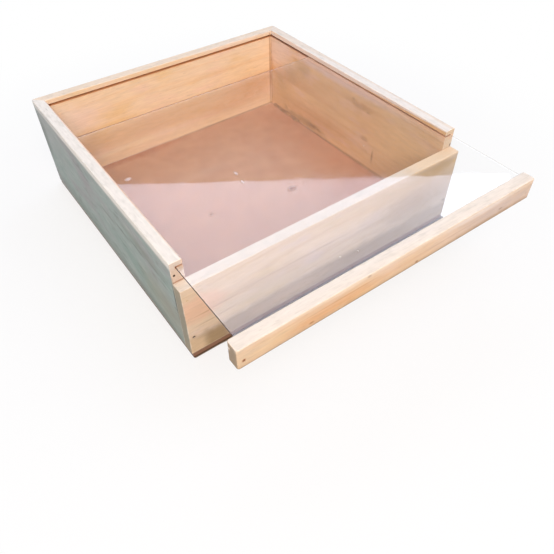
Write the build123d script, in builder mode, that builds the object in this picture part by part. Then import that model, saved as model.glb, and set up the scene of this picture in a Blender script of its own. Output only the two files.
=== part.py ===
from build123d import *
import os

# Display case for butterflies: an open-topped pine box whose clear lid slides in saw grooves.
# Millimetres. The origin is the centre of the underside, +Z is up, and -Y is the front,
# the way the lid is drawn out.

# --- the case --------------------------------------------------------------------------------
case_width = 305.0  # outside, along X
case_depth = 305.0  # outside, along Y, without the lid's rail
case_height = 104.4  # from the underside to the top of the side walls
board_thickness = 11.0  # all four walls come from one planed board
panel_thickness = 6.4  # hardboard bottom, nailed under the walls
panel_side_inset = 1.0  # from the side walls' outer faces in to the panel's edge

edge_round = 0.8  # sanded top edges
back_corner_round = 3.0  # the two upright corners at the back

# --- the lid ---------------------------------------------------------------------------------
sheet_thickness = 2.0
groove_depth = 6.5  # saw groove in the side walls and the back wall
groove_lip = 4.7  # wood left above the groove
sheet_play = 0.3  # above and below the sheet in its groove
sheet_edge_play = 0.5  # between the sheet's edge and the bottom of the groove

rail_height = 20.4
rail_length = 302.0  # a little short of the right wall
rail_overhang = 2.5  # how far it stands out past the left wall
rail_thickness = 11.9
rail_slot_depth = 4.0  # the sheet is glued into this slot
rail_slot_play = 0.05  # film of glue all round the sheet in the slot
rail_edge_round = 0.8
rail_end_round = 2.0
rail_gap = 0.3  # under the rail when the lid is shut
rail_stop_gap = 0.3  # behind the rail when the lid is shut
lid_opening = 81.2  # how far the lid stands drawn out

# --- nails and the pin that locks the lid ----------------------------------------------------
nail_diameter = 1.6
nail_head_diameter = 2.4
nail_head_thickness = 0.8
nail_point_length = 2.5
nail_set = 0.4  # the heads are punched this far below the surface
nail_play = 0.05  # all round the nail, so that wood and steel only touch

corner_nail_length = 30.0
corner_nail_inset = 4.5  # from the case's side faces
corner_nail_low = 26.4  # lowest nail, above the underside
front_nail_drop = 12.0  # upper front nail, below the front wall's top
back_nail_drop = 18.7  # highest back nail, below the groove

bottom_nail_length = 20.0
bottom_nail_spacing = 66.0
bottom_nail_count = 4  # along each wall

lock_pin_diameter = 1.8
lock_pin_depth = 12.0  # into the front end of the left wall
lock_pin_inset = 2.6  # from the case's left face
lock_pin_drop = 13.0  # below the top of the case

# --- places worked out from the sizes --------------------------------------------------------
right_x = case_width / 2
back_y = case_depth / 2
front_y = -back_y
wall_end_y = front_y + board_thickness  # where the side walls end behind the front wall
inner_right_x = right_x - board_thickness
inner_back_y = back_y - board_thickness

groove_top = case_height - groove_lip
groove_floor = groove_top - sheet_thickness - 2 * sheet_play
groove_right_x = inner_right_x + groove_depth
groove_back_y = inner_back_y + groove_depth

rail_top = case_height
rail_bottom = rail_top - rail_height
front_wall_top = rail_bottom - rail_gap
rail_back_y = wall_end_y - rail_stop_gap - lid_opening
rail_front_y = rail_back_y - rail_thickness
rail_centre_x = -right_x - rail_overhang + rail_length / 2
rail_centre_y = (rail_back_y + rail_front_y) / 2

sheet_bottom = groove_floor + sheet_play
sheet_right_x = groove_right_x - sheet_edge_play
sheet_back_y = groove_back_y - sheet_edge_play - lid_opening
sheet_front_y = rail_back_y - rail_slot_depth + rail_slot_play

lock_pin_x = lock_pin_inset - right_x
lock_pin_z = case_height - lock_pin_drop
back_nail_high = groove_floor - back_nail_drop
front_nail_heights = (corner_nail_low, front_wall_top - front_nail_drop)
back_nail_heights = (corner_nail_low, (corner_nail_low + back_nail_high) / 2, back_nail_high)

# The mitre in each back corner, as a plane that faces its side wall.
left_mitre = Plane(origin=(-right_x, back_y, 0), z_dir=(-1, -1, 0))
right_mitre = Plane(origin=(right_x, back_y, 0), z_dir=(1, -1, 0))


def corner_nails(side, face_y, heights):
    """Planes where one corner's nails enter, facing out of the front or the back of the case."""
    outward = (0, 1 if face_y > 0 else -1, 0)
    nail_x = side * (right_x - corner_nail_inset)
    return [Plane(origin=(nail_x, face_y, height), z_dir=outward) for height in heights]


def bottom_nails(wall_x, wall_y):
    """Planes where the nails enter under one wall, which runs through the point given."""
    planes = []
    for number in range(bottom_nail_count):
        along = (number - (bottom_nail_count - 1) / 2) * bottom_nail_spacing
        place = (wall_x or along, wall_y or along, 0)
        planes.append(Plane(origin=place, z_dir=(0, 0, -1)))
    return planes


wall_centre_x = right_x - board_thickness / 2
wall_centre_y = back_y - board_thickness / 2
corner_nail_groups = {
    "front_left_nails": corner_nails(-1, front_y, front_nail_heights),
    "front_right_nails": corner_nails(1, front_y, front_nail_heights),
    "back_left_nails": corner_nails(-1, back_y, back_nail_heights),
    "back_right_nails": corner_nails(1, back_y, back_nail_heights),
}
bottom_nail_groups = {
    "bottom_nails_left": bottom_nails(-wall_centre_x, 0),
    "bottom_nails_right": bottom_nails(wall_centre_x, 0),
    "bottom_nails_front": bottom_nails(0, -wall_centre_y),
    "bottom_nails_back": bottom_nails(0, wall_centre_y),
}


def drill(groups, length):
    """Takes the holes of these nails out of the wood in hand, heads and all."""
    for planes in groups.values():
        with Locations(*planes):
            CounterBoreHole(
                radius=nail_diameter / 2 + nail_play,
                counter_bore_radius=nail_head_diameter / 2 + nail_play,
                counter_bore_depth=nail_set + nail_head_thickness + nail_play,
                depth=nail_set + length + nail_play,
            )


def drill_all():
    """Takes every nail's hole out of the wood in hand."""
    drill(corner_nail_groups, corner_nail_length)
    drill(bottom_nail_groups, bottom_nail_length)


def finish(piece, name):
    """Names a finished piece and writes it."""
    piece.part.label = name
    export_step(piece.part, f"parts/{name}.step")


os.makedirs("parts", exist_ok=True)

# The side walls and the back wall as one grooved U, before it is parted at the mitres.
with BuildPart() as wall_u:
    with BuildSketch(Plane.XY.offset(panel_thickness)) as wall_plan:
        with Locations((0, wall_end_y)):
            Rectangle(case_width, back_y - wall_end_y, align=(Align.CENTER, Align.MIN))
        fillet(wall_plan.vertices().group_by(Axis.Y)[-1], radius=back_corner_round)
        with Locations((0, wall_end_y)):
            Rectangle(
                2 * inner_right_x,
                inner_back_y - wall_end_y,
                align=(Align.CENTER, Align.MIN),
                mode=Mode.SUBTRACT,
            )
    extrude(amount=case_height - panel_thickness)
    fillet(wall_u.faces().sort_by(Axis.Z)[-1].edges(), radius=edge_round)
    with BuildSketch(Plane.XY.offset(groove_floor)):
        with Locations((0, wall_end_y)):
            Rectangle(2 * groove_right_x, groove_back_y - wall_end_y, align=(Align.CENTER, Align.MIN))
    extrude(amount=groove_top - groove_floor, mode=Mode.SUBTRACT)
    drill_all()

with BuildPart() as left_side_wall:
    add(wall_u.part)
    split(bisect_by=Plane.YZ, keep=Keep.BOTTOM)
    split(bisect_by=left_mitre, keep=Keep.TOP)
    with Locations(Plane(origin=(lock_pin_x, wall_end_y, lock_pin_z), z_dir=(0, -1, 0))):
        Hole(radius=lock_pin_diameter / 2, depth=lock_pin_depth)
finish(left_side_wall, "left_side_wall")

with BuildPart() as right_side_wall:
    add(wall_u.part)
    split(bisect_by=Plane.YZ, keep=Keep.TOP)
    split(bisect_by=right_mitre, keep=Keep.TOP)
finish(right_side_wall, "right_side_wall")

with BuildPart() as back_wall:
    add(wall_u.part)
    split(bisect_by=left_mitre, keep=Keep.BOTTOM)
    split(bisect_by=right_mitre, keep=Keep.BOTTOM)
finish(back_wall, "back_wall")

# The front wall is lower and covers the ends of the side walls.
with BuildPart() as front_wall:
    with BuildSketch(Plane.XY.offset(panel_thickness)) as front_plan:
        with Locations((0, front_y)):
            Rectangle(case_width, board_thickness, align=(Align.CENTER, Align.MIN))
        fillet(front_plan.vertices().group_by(Axis.Y)[0], radius=edge_round)
    extrude(amount=front_wall_top - panel_thickness)
    fillet(front_wall.faces().sort_by(Axis.Z)[-1].edges(), radius=edge_round)
    drill_all()
finish(front_wall, "front_wall")

with BuildPart() as bottom_panel:
    with BuildSketch():
        Rectangle(case_width - 2 * panel_side_inset, case_depth)
    extrude(amount=panel_thickness)
    drill(bottom_nail_groups, bottom_nail_length)
finish(bottom_panel, "bottom_panel")

# The lid: a clear sheet in the grooves, with a rail along its front edge.
with BuildPart() as lid_sheet:
    with BuildSketch(Plane.XY.offset(sheet_bottom)):
        with Locations((0, sheet_front_y)):
            Rectangle(2 * sheet_right_x, sheet_back_y - sheet_front_y, align=(Align.CENTER, Align.MIN))
    extrude(amount=sheet_thickness)
finish(lid_sheet, "lid_sheet")

with BuildPart() as lid_rail:
    with BuildSketch(Plane.XY.offset(rail_bottom)):
        with Locations((rail_centre_x, rail_centre_y)):
            RectangleRounded(rail_length, rail_thickness, radius=rail_end_round)
    extrude(amount=rail_height)
    fillet(lid_rail.faces().filter_by(Axis.Z).edges(), radius=rail_edge_round)
    with BuildSketch(Plane.XY.offset(sheet_bottom - rail_slot_play)):
        with Locations((rail_centre_x, rail_back_y)):
            Rectangle(rail_length, rail_slot_depth, align=(Align.CENTER, Align.MAX))
    extrude(amount=sheet_thickness + 2 * rail_slot_play, mode=Mode.SUBTRACT)
    with Locations(Plane(origin=(lock_pin_x, rail_front_y, lock_pin_z), z_dir=(0, -1, 0))):
        Hole(radius=lock_pin_diameter / 2, depth=rail_thickness)
finish(lid_rail, "lid_rail")


def make_nails(groups, length):
    """Makes each group of nails, which have a flat head, a round shank and a point."""
    into_wood = (Align.CENTER, Align.CENTER, Align.MAX)
    shank_start = nail_set + nail_head_thickness
    shank_length = length - nail_head_thickness - nail_point_length
    for name, planes in groups.items():
        with BuildPart() as nails:
            with Locations(*[plane.offset(-nail_set) for plane in planes]):
                Cylinder(nail_head_diameter / 2, nail_head_thickness, align=into_wood)
            with Locations(*[plane.offset(-shank_start) for plane in planes]):
                Cylinder(nail_diameter / 2, shank_length, align=into_wood)
            with Locations(*[plane.offset(-shank_start - shank_length) for plane in planes]):
                Cone(0, nail_diameter / 2, nail_point_length, align=into_wood)
        finish(nails, name)


make_nails(corner_nail_groups, corner_nail_length)
make_nails(bottom_nail_groups, bottom_nail_length)
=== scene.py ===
"""A pine display case with a clear sliding lid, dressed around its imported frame.

Everything is in metres in the case's own frame: the origin is the centre of the underside,
+Z is up and -Y is the front, the way the lid is drawn out. Sizes that a class holds in
millimetres say so.
"""

import logging
import math
from dataclasses import dataclass, replace
from enum import Enum
from typing import Any, Callable, Sequence, Union

import bpy
from mathutils import Matrix, Vector, noise


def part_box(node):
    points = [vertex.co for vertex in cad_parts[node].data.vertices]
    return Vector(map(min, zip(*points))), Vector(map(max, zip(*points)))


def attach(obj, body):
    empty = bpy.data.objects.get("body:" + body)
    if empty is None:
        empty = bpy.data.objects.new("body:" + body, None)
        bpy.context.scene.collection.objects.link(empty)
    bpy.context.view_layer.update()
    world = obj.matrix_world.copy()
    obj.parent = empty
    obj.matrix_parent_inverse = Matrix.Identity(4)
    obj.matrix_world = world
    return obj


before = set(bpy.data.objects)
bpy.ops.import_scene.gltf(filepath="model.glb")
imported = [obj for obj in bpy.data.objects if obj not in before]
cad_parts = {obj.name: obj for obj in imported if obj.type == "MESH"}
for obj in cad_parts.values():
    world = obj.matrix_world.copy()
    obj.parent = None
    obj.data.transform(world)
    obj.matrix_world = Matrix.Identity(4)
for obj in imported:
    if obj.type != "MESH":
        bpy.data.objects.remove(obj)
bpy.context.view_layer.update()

log = logging.getLogger("display_case")

Source = Union[bpy.types.Node, bpy.types.NodeSocket]  # a node stands for its first output
Coats = list[tuple[Source, str]]
Triple = tuple[float, float, float]

MM = 0.001
SOFT = {"interpolation_type": "SMOOTHSTEP"}  # for a range that eases in and out
SEEDED = {"noise_dimensions": "4D"}  # for noise that its W sets apart from other noise
NEAR_FACE = -5.5  # a wall's face towards the front or the left, in millimetres from its middle
RAIL_FACE = -5.9  # the rail's front face, in the same way
DEEP = 9.0  # reach through a board of a stain that goes in from one face, in millimetres
SKIN = 2.0  # the same where it stays in that face's skin


def linear(code: str) -> tuple[float, float, float, float]:
    """Turns an sRGB colour into the linear one that shaders take.

    Args:
        code: The colour as #RRGGBB.

    Returns:
        Red, green, blue and an alpha of 1.
    """
    shares = [int(code[place : place + 2], 16) / 255 for place in (1, 3, 5)]
    parts = [s / 12.92 if s <= 0.04045 else ((s + 0.055) / 1.055) ** 2.4 for s in shares]
    return (parts[0], parts[1], parts[2], 1.0)


class Nodes:
    """A node tree in the making.

    Attributes:
        tree: The node tree itself.
        spot: The texture coordinates of the point that is shaded.
        place: Where that point lies, in millimetres, in the space that the finish is drawn in.
    """

    def __init__(self, tree: bpy.types.NodeTree) -> None:
        """Empties a new tree.

        Args:
            tree: The tree of a material or a world.
        """
        tree.nodes.clear()
        self.tree = tree
        self.spot = self.add("TexCoord")
        self.place = self.spot

    def add(
        self,
        kind: str,
        inputs: dict[int | str, Any] | None = None,
        stops: Sequence[tuple[float, float]] = (),
        **settings: Any,
    ) -> bpy.types.Node:
        """Adds a node with its settings, its sockets' values or links, and its ramp's stops.

        Sockets go by name or by number. A MapRange turns the range from socket 1 to socket 2
        into the one from socket 3 to socket 4, which is 0 to 1 where they aren't given.

        Args:
            kind: The node's type, without the ShaderNode that such names start with.
            inputs: A value, a socket or a node (for its first output) for each socket set.
            stops: Place and grey value of each stop of a colour ramp.
            **settings: The node's own properties.

        Returns:
            The new node.
        """
        node = self.tree.nodes.new("ShaderNode" + kind)
        for name, value in settings.items():
            setattr(node, name, value)
        for socket, value in (inputs or {}).items():
            if isinstance(value, bpy.types.Node):
                value = value.outputs[0]
            if isinstance(value, bpy.types.NodeSocket):
                self.tree.links.new(value, node.inputs[socket])
            else:
                node.inputs[socket].default_value = value
        for number, (place, value) in enumerate(stops):
            elements = node.color_ramp.elements
            element = elements[number] if number < len(elements) else elements.new(place)
            element.position = place
            element.color = (value, value, value, 1.0)
        return node

    def lay(self, ground: Any, coats: Coats) -> Any:
        """Lays coats of colour over a ground, one over the other.

        Args:
            ground: The colour underneath, as a value, a socket or a node.
            coats: How much of each coat covers what is under it, and the coat's hex colour.

        Returns:
            The colour that is seen.
        """
        for share, paint in coats:
            mix = self.add("Mix", {0: share, 6: ground, 7: linear(paint)}, data_type="RGBA")
            ground = mix.outputs[2]
        return ground


@dataclass(frozen=True)
class Stain:
    """A soft-edged patch of another colour, as resin, rust, glue or dirt leaves in a board; some
    patches are painted light and shade.

    Attributes:
        middle: Its middle, in millimetres, in the space that the finish is drawn in.
        reach: How far it reaches from there along each axis, in millimetres.
        colour: Its colour.
        strength: How far it hides what is under it.
        soft: How much of its reach is edge, from 0, sharp, to 1, soft all over.
        uneven: How uneven its outline is.
    """

    middle: Triple
    reach: Triple
    colour: str
    strength: float = 0.7
    soft: float = 0.6
    uneven: float = 1.0

    def share(self, nodes: Nodes, wobble: Source) -> bpy.types.Node:
        """Adds the patch to a material.

        Args:
            nodes: The material's nodes.
            wobble: An uneven value around 0 that makes its outline uneven.

        Returns:
            Its strength in the middle, falling to 0 at its edge.
        """
        apart = nodes.add("VectorMath", {0: nodes.place, 1: self.middle}, operation="SUBTRACT")
        apart = nodes.add("VectorMath", {0: apart, 1: self.reach}, operation="DIVIDE")
        apart = nodes.add("VectorMath", {0: apart}, operation="LENGTH").outputs["Value"]
        apart = nodes.add(
            "Math", {0: wobble, 1: self.uneven, 2: apart}, operation="MULTIPLY_ADD"
        )
        ends = {1: 1.0, 2: 1.0 - self.soft, 3: 0.0, 4: self.strength}
        return nodes.add("MapRange", {0: apart, **ends}, **SOFT)


def near_stain(
    along: float, across: float, length: float, width: float, colour: str, *looks: float
) -> Stain:
    """Makes a stain on a wall's face towards the front or the left.

    Args:
        along: Its middle along the board, in millimetres, as all its sizes.
        across: Its middle across the board.
        length: How far it reaches along the board.
        width: How far it reaches across the board.
        colour: Its colour.
        *looks: Its strength, softness and unevenness, as far as they aren't the usual ones.

    Returns:
        The stain.
    """
    return Stain((along, across, NEAR_FACE), (length, width, DEEP), colour, *looks)


class Finish:
    """What all finishes share: each makes one material of its name."""

    name: str

    def make(self) -> bpy.types.Material:
        """Builds the material.

        Returns:
            The finished material.
        """
        material = bpy.data.materials.new(self.name)
        material.use_nodes = True
        nodes = Nodes(material.node_tree)
        nodes.place = nodes.add(
            "VectorMath", {0: nodes.spot.outputs["Object"], 3: 1 / MM}, operation="SCALE"
        )
        nodes.add("OutputMaterial", {"Surface": self._shade(nodes)})
        return material

    def dress(self, node_name: str) -> None:
        """Makes the material and gives it to a CAD node.

        Args:
            node_name: The CAD node.
        """
        dress(node_name, self.make())

    def _shade(self, nodes: Nodes) -> bpy.types.Node:
        """Adds the nodes that make the finish.

        Args:
            nodes: The material's nodes.

        Returns:
            The node that shades the surface.
        """
        raise NotImplementedError


def dress(node_name: str, material: bpy.types.Material) -> None:
    """Gives a CAD node its finish and reports it.

    Args:
        node_name: The CAD node.
        material: The finish that goes into each of its slots.
    """
    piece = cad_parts[node_name]
    if not piece.material_slots:
        piece.data.materials.append(material)
    for slot in piece.material_slots:
        slot.material = material
    log.info("%s: %s", node_name, material.name)


class Lie(Enum):
    """How a board lies: the frame's axes along its length, across its width and through it."""

    LEFT_TO_RIGHT = (0, 2, 1)
    FRONT_TO_BACK = (1, 2, 0)


@dataclass(frozen=True)
class PlanedPine(Finish):
    """Planed pine: pale early wood with warmer late wood in rings, matt, with fine fibres.

    A board has its own space, in millimetres from its middle: x runs along the grain, y across
    the board and z through it.

    Attributes:
        name: The material's name.
        lie: How the board lies.
        low: The board's lowest corner.
        high: The board's highest corner.
        seed: Sets this board's pattern apart from the others'.
        early: Colour of the wide pale part of a ring.
        late: Colour of the narrow hard part of a ring.
        heart: Colour of the broad darker bands.
        sanded: Colour of the freshly sanded top, paler also as painted light on every face that
            looks up.
        ends: Colour of the sawn ends.
        rubbed: Colour of the worn arrises.
        grime: Colour of the places that handling has greyed.
        patches: Colours of the faint yellower and pinker patches all over the board.
        outside: Colour of the painted shade on the outer face, which faces away from the light,
            and those of the patches there.
        freckles: Colours of the dark and the pale specks in that painted shade.
        top_edge_highlight: Colour of the painted highlight along the top of the outer face, where
            the rounded top edge catches the light.
        top_edge_highlight_ends: Where that highlight starts and where it covers, in millimetres
            below the top.
        outside_way: Which way the outer face looks.
        outside_share: How far the outer face is turned to its painted shade.
        ring: Width of a ring, in millimetres.
        wander: How far the rings wander, in millimetres.
        pith: Where the rings centre, across and through the board from its middle, in
            millimetres.
        slope: How far the grain climbs across the board, as a share of the way along it.
        heart_share: How strong the broad bands are.
        groove: How high the saw groove's floor and roof are in the frame, in millimetres.
        groove_reach: How far from the case's middle the groove's bottom is, in millimetres.
        sawn: Colour of the wood in the groove: partly the sawn wood, partly painted shade in the
            recess.
        knife: How far apart the ripples are that the planer's knives left, in millimetres.
        worn: How wide the wear along its arrises is at most, in millimetres.
        soiled: How strongly handling has greyed its sanded edges in places.
        stains: The stains in the planed wood, in the board's own space.
        late_stains: The stains that go over the sanding and the painted outer shade.
    """

    name: str
    lie: Lie
    low: Vector
    high: Vector
    seed: float
    early: str = "#F3DDC0"
    late: str = "#DDB083"
    heart: str = "#E3BA8C"
    sanded: str = "#FBF0E1"
    ends: str = "#DCC8B4"
    rubbed: str = "#FFF6EA"
    grime: str = "#C6C2B6"
    patches: tuple[str, str] = ("#EBC48C", "#F4D3C4")
    outside: tuple[str, str, str] = ("#A8B0A8", "#92A69C", "#A69FA0")
    freckles: tuple[str, str] = ("#787E76", "#C4C8BE")
    top_edge_highlight: str = "#FFF9F0"
    top_edge_highlight_ends: tuple[float, float] = (9.0, 4.0)
    outside_way: Triple = (0.0, 0.0, 0.0)
    outside_share: float = 0.0
    ring: float = 4.0
    wander: float = 16.0
    pith: tuple[float, float] = (10.0, -60.0)
    slope: float = 0.02
    heart_share: float = 0.5
    groove: tuple[float, float] = (0.0, 0.0)
    groove_reach: float = 148.3
    sawn: str = "#A9683F"
    knife: float = 2.5
    worn: float = 1.6
    soiled: float = 0.4
    stains: tuple[Stain, ...] = ()
    late_stains: tuple[Stain, ...] = ()

    @property
    def middle(self) -> Triple:
        """The board's middle in the frame, in millimetres, in the order of its own axes."""
        middle = (self.low + self.high) / 2 / MM
        return tuple(middle[axis] for axis in self.lie.value)

    def on_board(self, place: Vector) -> Triple:
        """Turns a place in the frame into one in the board's own space.

        Args:
            place: The place, in metres.

        Returns:
            Along, across and through the board from its middle, in millimetres.
        """
        own = [place[axis] / MM - centre for axis, centre in zip(self.lie.value, self.middle)]
        return (own[0], own[1] + self.slope * own[0], own[2])

    def _shade(self, nodes: Nodes) -> bpy.types.Node:
        """Adds matt wood with its fibres and pores, drawn in the board's own space.

        Args:
            nodes: The material's nodes.

        Returns:
            The node that shades the surface.
        """
        in_frame = nodes.place
        nodes.place = self._board_space(nodes)
        rings = self._rings(nodes)
        fibres = self._streaks(nodes, seed=11, length=16.0, width=0.9)
        pores = self._streaks(nodes, seed=17, length=7.0, width=1.1)
        pores = nodes.add("MapRange", {0: pores, 1: 0.62, 2: 0.7}, **SOFT)

        colour = nodes.lay(linear(self.early), self._coats(nodes, rings, in_frame))
        tone = nodes.add("MapRange", {0: fibres, 1: 0.25, 2: 0.75, 3: 0.92, 4: 1.06})
        tone = nodes.add("Math", {0: pores, 1: -0.12, 2: tone}, operation="MULTIPLY_ADD")
        # Fibres are finer than a pixel: bundles, 3 mm wide, keep the wood from looking flat.
        bundles = self._streaks(nodes, seed=29, length=14.0, width=3.0)
        bundles = nodes.add("MapRange", {0: bundles, 1: 0.3, 2: 0.7, 3: 0.96, 4: 1.04})
        tone = nodes.add("Math", {0: bundles, 1: tone}, operation="MULTIPLY")
        colour = nodes.add("VectorMath", {0: colour, 3: tone}, operation="SCALE")
        colour = nodes.lay(colour, [(self._arrises(nodes), self.rubbed)])

        # Late wood stands proud, pores are hollow, and the knives have left faint ripples.
        relief = fibres
        for part, height in ((rings, 0.6), (pores, -0.8), (self._knife_marks(nodes), 0.12)):
            terms = {0: part, 1: height, 2: relief}
            relief = nodes.add("Math", terms, operation="MULTIPLY_ADD")
        bump = nodes.add("Bump", {"Strength": 0.7, "Distance": 0.07 * MM, "Height": relief})
        rough = nodes.add("MapRange", {0: fibres, 3: 0.6, 4: 0.8})
        return nodes.add(
            "BsdfPrincipled",
            {"Base Color": colour, "Roughness": rough, "Normal": bump, "Specular IOR Level": 0.35},
        )

    def _board_space(self, nodes: Nodes) -> bpy.types.Node:
        """Adds the board's own space.

        Args:
            nodes: The material's nodes, whose place is still in the frame.

        Returns:
            A node whose output is the place in that space.
        """
        parts = nodes.add("SeparateXYZ", {0: nodes.place})
        along, across, through = (parts.outputs[axis] for axis in self.lie.value)
        place = nodes.add("CombineXYZ", {0: along, 1: across, 2: through})
        place = nodes.add("VectorMath", {0: place, 1: self.middle}, operation="SUBTRACT")
        along, across, through = nodes.add("SeparateXYZ", {0: place}).outputs
        terms = {0: along, 1: self.slope, 2: across}
        climb = nodes.add("Math", terms, operation="MULTIPLY_ADD")
        return nodes.add("CombineXYZ", {0: along, 1: climb, 2: through})

    def _coats(self, nodes: Nodes, rings: Source, in_frame: Source) -> Coats:
        """Adds everything that colours the early wood.

        Args:
            nodes: The material's nodes.
            rings: How far the wood is late wood.
            in_frame: The place in the frame, in millimetres.

        Returns:
            The share and the colour of each coat, from the lowest up.
        """
        bands = self._streaks(nodes, seed=7, length=300.0, width=30.0)
        bands = nodes.add(
            "MapRange", {0: bands, 1: 0.35, 2: 0.65, 4: self.heart_share}, **SOFT
        )
        coats = [(rings, self.late), (bands, self.heart)]
        patchy = self._streaks(nodes, seed=37, length=48.0, width=15.0)
        for low, high, colour in ((0.48, 0.3, self.patches[0]), (0.52, 0.7, self.patches[1])):
            patch = nodes.add("MapRange", {0: patchy, 1: low, 2: high, 4: 0.55}, **SOFT)
            coats.append((patch, colour))

        wobble = nodes.add(
            "TexNoise",
            {"Vector": nodes.place, "W": self.seed, "Scale": 1 / 9.0, "Detail": 3.0},
            **SEEDED,
        )
        wobble = nodes.add("MapRange", {0: wobble, 3: -0.3, 4: 0.3})
        coats += [(stain.share(nodes, wobble), stain.colour) for stain in self.stains]
        # An outer face that looks away from the light gets painted shade.
        if self.outside_share:
            coats += self._paint_outer_shade(nodes)

        facing = nodes.add("SeparateXYZ", {0: nodes.spot.outputs["Normal"]})
        # Faces that look up take the sanded colour: partly fresh sanding, partly painted light
        # from above.
        sanded_and_lit_top = nodes.add(
            "MapRange", {0: facing.outputs[2], 1: 0.6, 2: 0.95, 4: 0.75}, **SOFT
        )
        coats.append((sanded_and_lit_top, self.sanded))
        # Handling has left the sanded edges a little grey in places.
        grime = self._streaks(nodes, seed=43, length=8.0, width=4.0)
        grime = nodes.add("MapRange", {0: grime, 1: 0.5, 2: 0.72, 4: self.soiled})
        grime = nodes.add("Math", {0: grime, 1: sanded_and_lit_top}, operation="MULTIPLY")
        coats.append((grime, self.grime))
        # Sawn ends soak up more light: they are duller than the planed faces.
        end_on = facing.outputs[self.lie.value[0]]
        end_on = nodes.add("Math", {0: end_on}, operation="ABSOLUTE")
        end_on = nodes.add("MapRange", {0: end_on, 1: 0.75, 2: 0.95, 4: 0.8}, **SOFT)
        coats.append((end_on, self.ends))
        coats += [(stain.share(nodes, wobble), stain.colour) for stain in self.late_stains]
        if self.groove[1] > self.groove[0]:
            coats.append((self._in_groove(nodes, in_frame), self.sawn))
        return coats

    def _paint_outer_shade(self, nodes: Nodes) -> Coats:
        """Adds the painted shade of the outer face, which faces away from the light: grey, green,
        mauve.

        Args:
            nodes: The material's nodes.

        Returns:
            The share and the colour of each coat, from the lowest up.
        """
        outward = nodes.add(
            "VectorMath",
            {0: nodes.spot.outputs["Normal"], 1: self.outside_way},
            operation="DOT_PRODUCT",
        ).outputs["Value"]
        clouds = self._streaks(nodes, seed=31, length=70.0, width=28.0)
        specks = self._streaks(nodes, seed=41, length=12.0, width=3.4)
        ranges = (
            (clouds, 0.0, 0.1, self.outside_share),
            (clouds, 0.5, 0.68, 0.75),
            (clouds, 0.48, 0.3, 0.75),
            (specks, 0.55, 0.75, 0.6),
            (specks, 0.45, 0.28, 0.5),
        )
        coats = []
        for (pattern, low, high, share), colour in zip(ranges, self.outside + self.freckles):
            patch = nodes.add("MapRange", {0: pattern, 1: low, 2: high, 4: share})
            turned = nodes.add("MapRange", {0: outward, 1: 0.5, 2: 0.9, 4: patch}, **SOFT)
            coats.append((turned, colour))
        # A painted highlight runs along the top of the face, where its rounded edge catches light.
        height = nodes.add("SeparateXYZ", {0: nodes.spot.outputs["Object"]}).outputs[2]
        start, full = (self.high.z - depth * MM for depth in self.top_edge_highlight_ends)
        rim = nodes.add("MapRange", {0: height, 1: start, 2: full, 4: 0.9}, **SOFT)
        coats.append((rim, self.top_edge_highlight))
        return coats

    def _in_groove(self, nodes: Nodes, in_frame: Source) -> bpy.types.Node:
        """Finds the saw groove, whose wood the blade has left rough.

        Its browner colour is partly the sawn wood, partly painted shade in the recess.

        Args:
            nodes: The material's nodes.
            in_frame: The place in the frame, in millimetres.

        Returns:
            1 in the groove and 0 everywhere else.
        """
        side, deep, height = nodes.add("SeparateXYZ", {0: in_frame}).outputs
        middle = sum(self.groove) / 2
        half = (self.groove[1] - self.groove[0]) / 2 + 0.1
        level = nodes.add("Math", {0: height, 1: middle, 2: half}, operation="COMPARE")
        for way in (side, deep):
            size = nodes.add("Math", {0: way}, operation="ABSOLUTE")
            inside = nodes.add("Math", {0: size, 1: self.groove_reach}, operation="LESS_THAN")
            level = nodes.add("Math", {0: level, 1: inside}, operation="MULTIPLY")
        return level

    def _rings(self, nodes: Nodes) -> bpy.types.Node:
        """Adds the year rings, which widen and wander along the board.

        Args:
            nodes: The material's nodes.

        Returns:
            0 in early wood, rising to 1 in late wood.
        """
        place = nodes.place
        drawn_out = nodes.add("VectorMath", {0: place, 1: (0.12, 1.0, 1.0)}, operation="MULTIPLY")
        way = nodes.add(
            "TexNoise",
            {"Vector": drawn_out, "W": self.seed, "Scale": 1 / 45.0, "Detail": 2.0},
            **SEEDED,
        ).outputs["Color"]
        way = nodes.add("VectorMath", {0: way, 1: (0.5, 0.5, 0.5)}, operation="SUBTRACT")
        way = nodes.add("VectorMath", {0: way, 3: self.wander}, operation="SCALE")
        for operation, value in (
            ("ADD", way),
            ("SUBTRACT", (0.0, *self.pith)),
            ("MULTIPLY", (0.0, 1.0, 1.0)),
            ("LENGTH", (0.0, 0.0, 0.0)),
        ):
            place = nodes.add("VectorMath", {0: place, 1: value}, operation=operation)
        radius = place.outputs["Value"]
        count = nodes.add("Math", {0: radius, 1: self.ring}, operation="DIVIDE")
        uneven = nodes.add(
            "TexNoise", {"W": count, "Scale": 0.7, "Detail": 1.0}, noise_dimensions="1D"
        )
        count = nodes.add("Math", {0: uneven, 1: 1.6, 2: count}, operation="MULTIPLY_ADD")
        year = nodes.add("Math", {0: count}, operation="FRACT")
        profile = [(0.0, 0.05), (0.5, 0.12), (0.88, 0.9), (0.97, 0.15)]
        late = nodes.add("ValToRGB", {0: year}, stops=profile)
        faint = self._streaks(nodes, seed=3, length=180.0, width=22.0)
        faint = nodes.add("MapRange", {0: faint, 1: 0.3, 2: 0.7, 3: 0.2, 4: 1.0})
        return nodes.add("Math", {0: late, 1: faint}, operation="MULTIPLY")

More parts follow.
